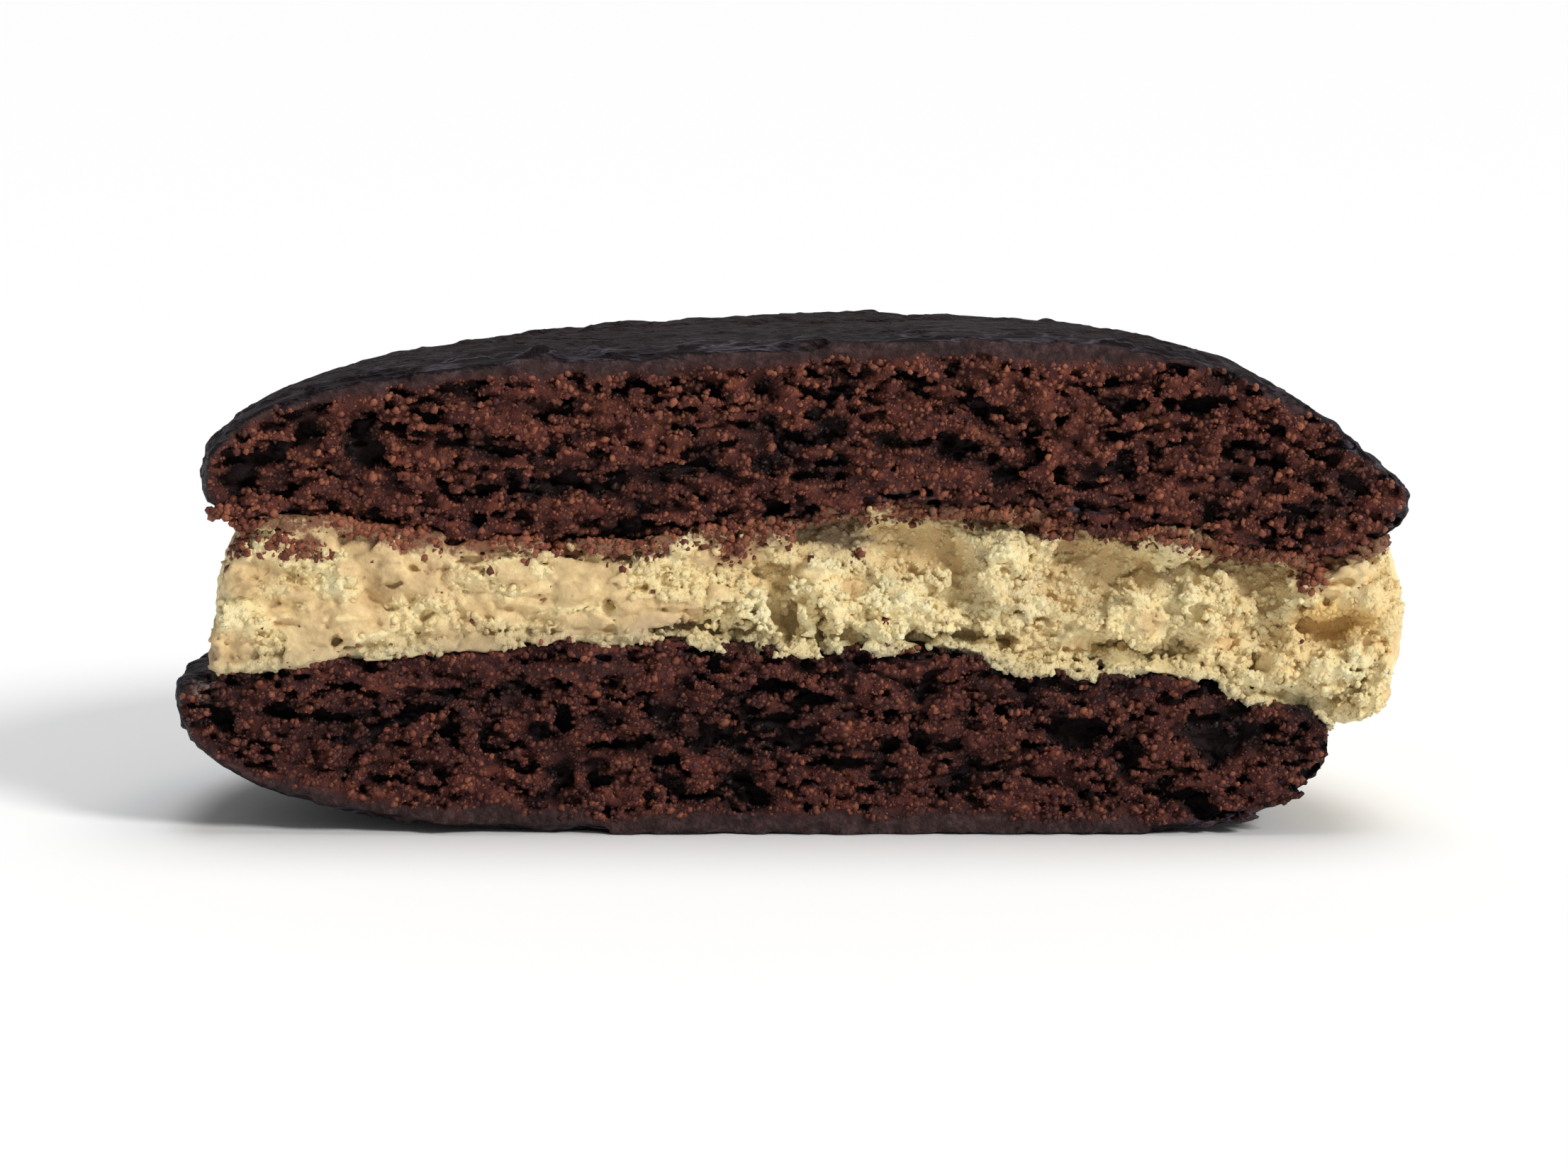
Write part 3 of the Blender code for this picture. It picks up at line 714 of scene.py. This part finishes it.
def make_cream():
    """The filling, sliced nearly smooth on the left and torn on the right."""
    noise = Noise(CREAM_SEED)
    index, points = near_points(filling, CREAM_DEPTH)
    behind = points[1] - CUT_Y
    to_cake = np.minimum(upper_layer.coarse.sample(points), lower_layer.coarse.sample(points))
    moved = wander(points, np.maximum(to_cake, 0.0))
    plain = smoothstep((behind - 3.0) / 2.0)
    distance = mix(filling.distance(moved), filling.coarse.sample(points), plain)
    touching = smoothstep((1.3 - to_cake) / 0.9)
    distance = distance - 0.42 * touching - 0.7 * smoothstep((points[0] - 40.0) / 3.0)
    front = CUT_Y - points[1]
    torn = torn_share(points)
    face = smoothstep((CREAM_DEPTH - behind) / 3.0)
    ragged = warped(noise, points, torn)
    forms = stamps(ragged, CREAM_FORMS)
    recess = smoothstep(-forms / 0.8)
    lumps = noise.fractal(points, (2.6, 2.2, 1.7), 3, 0.6)
    small = noise.fractal(points, (0.95, 0.9, 0.75), 2, 0.6, layer=5)
    grains, _, _ = noise.cells(points, (0.85, 0.8, 0.7))
    fine_grains, _, _ = noise.cells(points, (0.5, 0.5, 0.45), layer=3)
    near, next_near, number = noise.cells(ragged, (3.6, 3.2, 2.2), layer=9)
    steps = (number - 0.5) * mix(0.6, 1.3, torn)
    creases = 0.45 * smoothstep(1.0 - (next_near - near) / 0.14) * mix(0.3, 1.0, torn)
    granular = np.maximum(granular_share(noise, points), recess)
    lumpy = granular * (0.5 * (grains - 0.4) + 0.5 * (fine_grains - 0.4)) + 0.08 * (fine_grains - 0.4)
    pits = smoothstep((noise.fractal(points, (1.2, 1.1, 0.75), 2, 0.6, layer=14) - 0.36) / 0.16)
    broad = mix(0.3, 0.5, torn) * lumps + mix(0.16, 0.24, torn) * small
    height = broad + lumpy + creases - steps + mix(0.5, 0.8, torn) * pits - forms + mix(0.4, 0.9, torn)
    hidden = smoothstep((1.1 - to_cake) / 0.6) * smoothstep((behind - 5.0) / 1.5)
    rim = (0.22 * lumps + 0.12 * small + 0.28 * (grains - 0.4)) * (1.0 - hidden)
    value = distance + mix(rim, height * (1.0 - 0.8 * touching), face)
    value = np.maximum(value, front + 0.85 * height)
    filling.fine.values[index] = inside_box(points, value)
    piece = draw_surface("cream", filling.fine, CREAM_TRIANGLES)
    spots = vertices_of(piece)
    ragged = spots + 0.6 * noise.fractal(spots, (1.4, 1.4, 1.2), 2, 0.6, layer=20)
    to_upper, to_lower = upper_layer.coarse.sample(spots), lower_layer.coarse.sample(spots)
    clusters = stamps(ragged, CRUMB_CLUSTERS, 0.9)
    torn = torn_share(spots)
    recess = smoothstep(-stamps(warped(noise, spots, torn), CREAM_FORMS) / 0.8)
    inner = smoothstep((-filling.side(spots) - 0.5) / 1.2)
    values = {
        "granular": np.maximum(granular_share(noise, spots), recess * torn),
        # Painted warm shade: its share, more the deeper the cream lies behind the cut
        "hollow": np.clip((spots[1] - CUT_Y - 1.5) / 2.6, 0.0, 1.0) * inner,
        "calm": (1.0 - torn) * smoothstep((CREAM_DEPTH - (spots[1] - CUT_Y)) / 3.0),
        "stain": np.clip(stamps(ragged, CREAM_STAINS, 0.9), 0.0, 1.0),
        # Painted grey shade on recessed smooth facets
        "painted_grey": np.clip(stamps(ragged, CREAM_PAINTED_GREYS, 0.7), 0.0, 1.0),
        # Painted amber glow, as of light shining through the cream
        "painted_glow": np.clip(stamps(ragged, CREAM_PAINTED_GLOWS, 0.9), 0.0, 1.0),
        "top_edge": np.maximum(smoothstep((3.2 - to_upper) / 3.2), 0.72 * np.clip(clusters, 0.0, 1.0)),
        # Painted shade: greyer and darker close to the lower cake
        "low_edge_shade": smoothstep(1.0 - to_lower / mix(2.6, 1.3, torn)),
    }
    for name, numbers in values.items():
        keep_values(piece, name, numbers)
    return piece, spots, to_upper, to_lower, values


def add_curds(cream, spots, values):
    """Small lumps of cream where it is torn into a granular mass."""
    draw = np.random.default_rng(CURD_SEED)
    normals = normals_of(cream)
    share = values["granular"] * mix(0.5, 1.0, torn_share(spots)) * (1.0 - values["top_edge"] * 0.6)
    seen = (spots[1] < CUT_Y + 4.5) & (normals[1] < 0.15) & (draw.random(len(share)) < 0.8 * share)
    chosen = thinned(draw, spots, np.flatnonzero(seen), CURD_SPACING)[:MOST_CURDS]
    radii = 0.11 + 0.22 * draw.random(len(chosen)) ** 2.0
    piece, owner = stuck_on("curds", spots, normals, chosen, radii, 0.4, CURD_SHAPE_SEED, 0.3)
    # The curds' painted shade comes from their own depth; every other share comes from the cream
    for name, numbers in values.items():
        if name != "hollow":
            keep_values(piece, name, numbers[chosen[owner]])
    return piece


def add_crumbs(cream, spots, to_upper, to_lower):
    """Crumbs of the cakes that stuck to the cream, thickest along its upper border."""
    draw = np.random.default_rng(CRUMB_SEED)
    noise = Noise(CRUMB_PATCH_SEED)
    normals = normals_of(cream)
    patches = noise.fractal(spots, (2.6, 2.0, 1.6), 2, 0.6)
    fringe = smoothstep((2.0 - to_upper) / 1.7) * smoothstep((patches + 0.2) / 0.35)
    clusters = np.clip(stamps(spots, CRUMB_CLUSTERS, 0.8), 0.0, 1.0)
    low = 0.5 * smoothstep((0.8 - to_lower) / 0.6) * smoothstep(patches / 0.3)
    weight = 2.4 * fringe + 1.6 * clusters + low + 0.004
    seen = (spots[1] < CUT_Y + 3.5) & (normals[1] < 0.1)
    seen &= draw.random(len(weight)) < 0.35 * weight
    chosen = thinned(draw, spots, np.flatnonzero(seen), CRUMB_SPACING)[:MOST_CRUMBS]
    radii = 0.12 + 0.23 * draw.random(len(chosen)) ** 2.0
    places, sizes = [(spots[:, chosen] - normals[:, chosen] * radii * 0.3).T], [radii]
    for x, z, half_x, half_z, count in CRUMB_CHUNKS:
        ways = draw.normal(size=(count, 3))
        ways *= (draw.random((count, 1)) ** (1 / 3)) / np.linalg.norm(ways, axis=1, keepdims=True)
        places.append(ways * (half_x, 0.8, half_z) + (x, CUT_Y + 1.2, z))
        sizes.append(draw.uniform(0.2, 0.38, count))
    return kept_back("crumbs", np.concatenate(places), np.concatenate(sizes), CRUMB_SHAPE_SEED, 0.35)[0]


# Materials


class Graph:
    """Short names for the shader nodes of one material."""

    def __init__(self, name):
        self.material = bpy.data.materials.new(name)
        self.material.use_nodes = True
        self.tree = self.material.node_tree
        self.shader = self.tree.nodes["Principled BSDF"]

    def node(self, kind, inputs=(), **settings):
        node = self.tree.nodes.new(kind)
        for key, value in settings.items():
            setattr(node, key, value)
        for key, value in dict(inputs).items():
            self.put(node.inputs[key], value)
        return node

    def put(self, socket, value):
        if isinstance(value, bpy.types.NodeSocket):
            self.tree.links.new(value, socket)
        else:
            socket.default_value = value

    def attribute(self, name):
        return self.node("ShaderNodeAttribute", attribute_name=name).outputs["Fac"]

    def place(self):
        return self.node("ShaderNodeTexCoord").outputs["Object"]

    def noise(self, scale, detail=2.0, roughness=0.5):
        inputs = {"Scale": scale, "Detail": detail, "Roughness": roughness, "Vector": self.place()}
        return self.node("ShaderNodeTexNoise", inputs).outputs["Fac"]

    def math(self, operation, a, b=0.0):
        node = self.node("ShaderNodeMath", operation=operation)
        self.put(node.inputs[0], a)
        self.put(node.inputs[1], b)
        return node.outputs[0]

    def times(self, a, b):
        return self.math("MULTIPLY", a, b)

    def plus(self, a, b):
        return self.math("ADD", a, b)

    def between(self, value, low, high, to_low=0.0, to_high=1.0):
        inputs = {"Value": value, "From Min": low, "From Max": high, "To Min": to_low, "To Max": to_high}
        node = self.node("ShaderNodeMapRange", inputs, interpolation_type="SMOOTHSTEP")
        return node.outputs["Result"]

    def mix(self, a, b, share):
        node = self.node("ShaderNodeMix", data_type="RGBA")
        self.put(node.inputs["Factor"], share)
        self.put(node.inputs["A"], a)
        self.put(node.inputs["B"], b)
        return node.outputs["Result"]

    def ramp(self, value, stops):
        node = self.node("ShaderNodeValToRGB", {"Fac": value})
        elements = node.color_ramp.elements
        while len(elements) < len(stops):
            elements.new(0.5)
        for element, (place, colour) in zip(elements, stops):
            element.position = place
            element.color = (*colour, 1.0)
        return node.outputs["Color"]

    def bump(self, height, distance, strength):
        inputs = {"Height": height, "Distance": distance, "Strength": strength}
        return self.node("ShaderNodeBump", inputs).outputs["Normal"]

    def finish(self, **values):
        for key, value in values.items():
            self.put(self.shader.inputs[key.replace("_", " ")], value)
        return self.material


# Colours of the crumb, the painted shade of its hollows, the firm band, and the crust far from the cut,
# near it, and the painted highlights on its folds
CRUMB_STOPS = (
    (0.12, (0.020, 0.0045, 0.005)),
    (0.36, (0.058, 0.0130, 0.011)),
    (0.60, (0.130, 0.0320, 0.018)),
    (0.86, (0.310, 0.1000, 0.050)),
)
# Painted shade, near black, for deep in the crumb's hollows
CRUMB_PAINTED_SHADE = (0.004, 0.0012, 0.002, 1.0)
BAND_STOPS = (
    (0.35, (0.017, 0.0080, 0.0085)),
    (0.52, (0.036, 0.0185, 0.0185)),
    (0.70, (0.078, 0.0440, 0.0430)),
)
CRUST_BAKED = (0.0150, 0.0085, 0.0090, 1.0)
CRUST_NEAR_CUT = (0.0045, 0.0016, 0.0030, 1.0)
# Painted highlight colour for the crests of the crust's folds
CRUST_PAINTED_HIGHLIGHT = (0.115, 0.097, 0.122, 1.0)
# The cream's own tones, a brown stain, crumb and cream smears, and painted warm shade, painted grey shade,
# a painted amber glow and painted shade along the lower cake
CREAM_STOPS = (
    (0.30, (0.520, 0.355, 0.175)),
    (0.38, (0.640, 0.455, 0.225)),
    (0.48, (0.770, 0.565, 0.290)),
    (0.62, (0.970, 0.785, 0.420)),
    (0.78, (0.990, 0.880, 0.540)),
)
# Painted warm shade for the cream's hollows
CREAM_PAINTED_SHADE = (0.66, 0.42, 0.17, 1.0)
STAIN_BROWN = (0.46, 0.24, 0.125, 1.0)
# Painted grey shade for the cream's recessed smooth facets
PAINTED_GREY_SHADE = (0.34, 0.25, 0.19, 1.0)
# Painted amber glow, as of light shining through the cream
PAINTED_AMBER_GLOW = (0.82, 0.47, 0.12, 1.0)
CREAM_TOP_EDGE = (0.175, 0.052, 0.026, 1.0)
# Painted shade for the cream along the lower cake
LOW_EDGE_PAINTED_SHADE = (0.40, 0.34, 0.22, 1.0)
CAKE_SMEAR = (0.36, 0.29, 0.25, 1.0)
# What is added to each piece's place on the crumb's ramp
UPPER_TONE, LOWER_TONE = -0.05, -0.12
UPPER_GRANULE_TONE, LOWER_GRANULE_TONE, CRUMB_TONE = 0.11, 0.02, 0.22


def crumb_colour(graph, tone_shift):
    """Chocolate brown that changes from granule to granule, with painted shade that blackens it in the
    hollows.
    """
    fine = graph.noise(2400.0, 3.0, 0.6)
    broad = graph.noise(330.0, 2.0, 0.5)
    tone = graph.times(graph.attribute("grain"), 0.45)
    tone = graph.plus(tone, graph.times(fine, 0.35))
    tone = graph.plus(tone, graph.times(broad, 0.25))
    colour = graph.ramp(graph.plus(tone, tone_shift), CRUMB_STOPS)
    # Painted shade: mixed towards near black the deeper the crumb lies behind the cut
    return graph.mix(colour, CRUMB_PAINTED_SHADE, graph.times(graph.attribute("hollow"), 0.95))


def cake_material(name, tone_shift):
    """Chocolate sponge: brown granules with painted shade in the hollows, a dense band, and the satin crust
    with painted highlights on its folds.
    """
    graph = Graph(name)
    skin = graph.attribute("skin")
    crumb = crumb_colour(graph, tone_shift)
    band = graph.ramp(graph.noise(1500.0, 3.0, 0.65), BAND_STOPS)
    crumb = graph.mix(crumb, band, graph.times(graph.attribute("firm"), 0.92))
    patch = graph.between(graph.noise(700.0, 3.0, 0.6), 0.4, 0.58)
    smear = graph.times(graph.attribute("smear"), patch)
    crumb = graph.mix(crumb, CAKE_SMEAR, graph.times(smear, 0.75))
    inputs = {"Vector": graph.place(), "Scale": (0.36, 1.0, 1.0)}
    stretched = graph.node("ShaderNodeMapping", inputs).outputs["Vector"]
    inputs = {"Vector": stretched, "Scale": 620.0, "Detail": 3.0, "Roughness": 0.6}
    folds = graph.node("ShaderNodeTexNoise", inputs).outputs["Fac"]
    valley = graph.math("ABSOLUTE", graph.math("SUBTRACT", folds, 0.5))
    crest = graph.between(valley, 0.0, 0.08, 1.0, 0.0)
    near_cut = graph.attribute("near_cut")
    # Where the painted highlights show: in patches, and most near the cut
    patches = graph.between(graph.noise(170.0, 3.0, 0.6), 0.40, 0.62, 0.08, 0.72)
    patches = graph.times(patches, graph.between(near_cut, 0.0, 1.0, 0.14, 1.0))
    baked = graph.mix(CRUST_BAKED, CRUST_NEAR_CUT, near_cut)
    # Painted highlight: the crests of the crust's folds are given a light grey colour
    crust = graph.mix(baked, CRUST_PAINTED_HIGHLIGHT, graph.times(crest, patches))
    grains = graph.plus(graph.noise(2600.0, 3.0, 0.65), graph.times(graph.noise(900.0), 0.6))
    height = graph.plus(graph.times(crest, graph.times(skin, 1.2)), grains)
    return graph.finish(
        Base_Color=graph.mix(crumb, crust, skin),
        Roughness=graph.between(skin, 0.0, 1.0, 0.7, 0.4),
        Specular_IOR_Level=graph.between(skin, 0.0, 1.0, 0.22, 0.055),
        Normal=graph.bump(height, 0.00026, 0.9),
    )


def granule_material(name, tone_shift):
    graph = Graph(name)
    return graph.finish(
        Base_Color=crumb_colour(graph, tone_shift),
        Roughness=0.5,
        Specular_IOR_Level=0.32,
        Normal=graph.bump(graph.noise(4200.0, 2.0, 0.6), 0.0001, 0.8),
    )


def cream_material():
    """Vanilla cream: pale yellow lumps and tan smears, stained by the crumb, with painted warm shade in the
    hollows, painted grey shade, a painted amber glow and painted shade along the lower cake.
    """
    graph = Graph("cream")
    granular = graph.attribute("granular")
    broad = graph.times(graph.noise(260.0, 3.0, 0.55), 0.6)
    tone = graph.plus(broad, graph.times(graph.noise(1300.0, 3.0, 0.6), 0.4))
    tone = graph.plus(tone, graph.times(granular, 0.17))
    # Darker where the cream is sliced smooth: partly the smear's own tan, partly painted shade for light
    # falling off to the left
    tone = graph.math("SUBTRACT", tone, graph.times(graph.attribute("calm"), 0.08))
    colour = graph.ramp(tone, CREAM_STOPS)
    # Painted shade: warmer and darker the deeper the cream lies behind the cut
    colour = graph.mix(colour, CREAM_PAINTED_SHADE, graph.times(graph.attribute("hollow"), 0.6))
    patch = graph.between(graph.noise(480.0, 3.0, 0.6), 0.35, 0.62)
    stain = graph.times(graph.attribute("stain"), patch)
    colour = graph.mix(colour, STAIN_BROWN, graph.times(stain, 0.8))
    # Painted grey shade on the recessed smooth facets
    colour = graph.mix(colour, PAINTED_GREY_SHADE, graph.times(graph.attribute("painted_grey"), 0.75))
    # Painted amber glow, as of light shining through the cream
    colour = graph.mix(colour, PAINTED_AMBER_GLOW, graph.times(graph.attribute("painted_glow"), 0.7))
    mottle = graph.times(graph.noise(520.0, 4.0, 0.7), 1.7)
    smear = graph.plus(graph.times(graph.attribute("top_edge"), 0.95), mottle)
    colour = graph.mix(colour, CREAM_TOP_EDGE, graph.between(smear, 1.34, 1.66, 0.0, 0.9))
    # Painted shade: greyer and darker close to the lower cake
    low_edge_shade = graph.times(graph.attribute("low_edge_shade"), 0.6)
    colour = graph.mix(colour, LOW_EDGE_PAINTED_SHADE, low_edge_shade)
    height = graph.plus(graph.noise(1700.0, 4.0, 0.7), graph.times(graph.noise(700.0), 0.8))
    height = graph.times(height, graph.between(granular, 0.0, 1.0, 0.4, 1.0))
    return graph.finish(
        Base_Color=colour,
        Roughness=0.5,
        Specular_IOR_Level=0.3,
        Subsurface_Weight=0.12,
        Subsurface_Radius=(1.0, 0.5, 0.22),
        Subsurface_Scale=0.0009,
        Normal=graph.bump(height, 0.00034, 1.0),
    )


# Stage and view


def sun(name, direction, strength, softness, colour):
    data = bpy.data.lights.new(name, "SUN")
    data.energy = strength
    data.angle = radians(softness)
    data.color = colour
    light = bpy.data.objects.new(name, data)
    light.rotation_euler = Vector(direction).to_track_quat("Z", "Y").to_euler()
    bpy.context.scene.collection.objects.link(light)


def make_stage():
    """A wide white floor that runs on past the horizon, in soft light from the front right and above."""
    mesh = bpy.data.meshes.new("floor")
    reach = 60.0
    corners = [(-reach, -reach, 0.0), (reach, -reach, 0.0), (reach, reach, 0.0), (-reach, reach, 0.0)]
    mesh.from_pydata(corners, [], [(0, 1, 2, 3)])
    floor = bpy.data.objects.new("floor", mesh)
    bpy.context.scene.collection.objects.link(floor)
    floor.data.materials.append(Graph("floor").finish(Base_Color=(0.9, 0.9, 0.9, 1.0), Roughness=0.9))
    world = bpy.data.worlds.new("studio")
    world.use_nodes = True
    background = world.node_tree.nodes["Background"]
    background.inputs["Color"].default_value = (1.0, 1.0, 1.0, 1.0)
    background.inputs["Strength"].default_value = 0.3
    bpy.context.scene.world = world
    sun("key", (1.1, -0.95, 0.95), 2.15, 16.0, (1.0, 0.985, 0.96))
    sun("top", (0.1, 0.15, 1.0), 1.55, 40.0, (0.97, 0.98, 1.0))


def make_camera():
    """The photograph's view: nearly level, square to the cut face, with its frame 2212 pixels wide."""
    pixel = 0.0517 * MM
    distance = 0.32
    elevation = radians(8.0)
    # In the photograph's pixels: its width and middle, and the cut's middle column and foot
    width, middle_column, middle_row = 2212, 1106, 828.5
    cut_column, foot_row = 1112.5, 1186
    data = bpy.data.cameras.new("camera")
    data.sensor_width = 36.0
    data.sensor_fit = "HORIZONTAL"
    data.lens = 36.0 * distance / (width * pixel)
    data.clip_start = 0.01
    data.clip_end = 200.0
    camera = bpy.data.objects.new("camera", data)
    aim = Vector(((middle_column - cut_column) * pixel, CUT_Y * MM, (foot_row - middle_row) * pixel))
    camera.location = aim + Vector((0.0, -cos(elevation), sin(elevation))) * distance
    camera.rotation_euler = (aim - camera.location).to_track_quat("-Z", "Y").to_euler()
    bpy.context.scene.collection.objects.link(camera)
    bpy.context.scene.camera = camera


def place_piece(piece, slot, *nodes):
    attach(piece, "root")
    if nodes:
        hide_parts(*nodes)


upper_layer = Layer("upper_cake")
lower_layer = Layer("lower_cake")
filling = Layer("filling")

upper, upper_noise = make_cake("upper_sponge", upper_layer, UPPER_HOLLOWS, UPPER_SEED)
upper_values = dress_cake(upper, upper_layer, upper_noise)
lower, lower_noise = make_cake("lower_sponge", lower_layer, (), LOWER_SEED)
lower_values = dress_cake(lower, lower_layer, lower_noise)
cream, cream_spots, to_upper, to_lower, cream_values = make_cream()
curds = add_curds(cream, cream_spots, cream_values)
upper_granules = add_granules("upper_granules", *upper_values, UPPER_GRANULE_SEED, MOST_UPPER_GRANULES)
lower_granules = add_granules("lower_granules", *lower_values, LOWER_GRANULE_SEED, MOST_LOWER_GRANULES)
crumbs = add_crumbs(cream, cream_spots, to_upper, to_lower)

upper.data.materials.append(cake_material("upper_sponge", UPPER_TONE))
lower.data.materials.append(cake_material("lower_sponge", LOWER_TONE))
cream_look = cream_material()
cream.data.materials.append(cream_look)
curds.data.materials.append(cream_look)
upper_granules.data.materials.append(granule_material("upper_granules", UPPER_GRANULE_TONE))
lower_granules.data.materials.append(granule_material("lower_granules", LOWER_GRANULE_TONE))
crumbs.data.materials.append(granule_material("crumbs", CRUMB_TONE))

place_piece(upper, "upper_cake", "upper_cake")
place_piece(lower, "lower_cake", "lower_cake")
place_piece(cream, "filling", "filling")
place_piece(upper_granules, "upper_cake")
place_piece(lower_granules, "lower_cake")
place_piece(curds, "filling")
place_piece(crumbs, "upper_cake")

make_stage()
make_camera()
bpy.context.scene.view_settings.view_transform = "Standard"
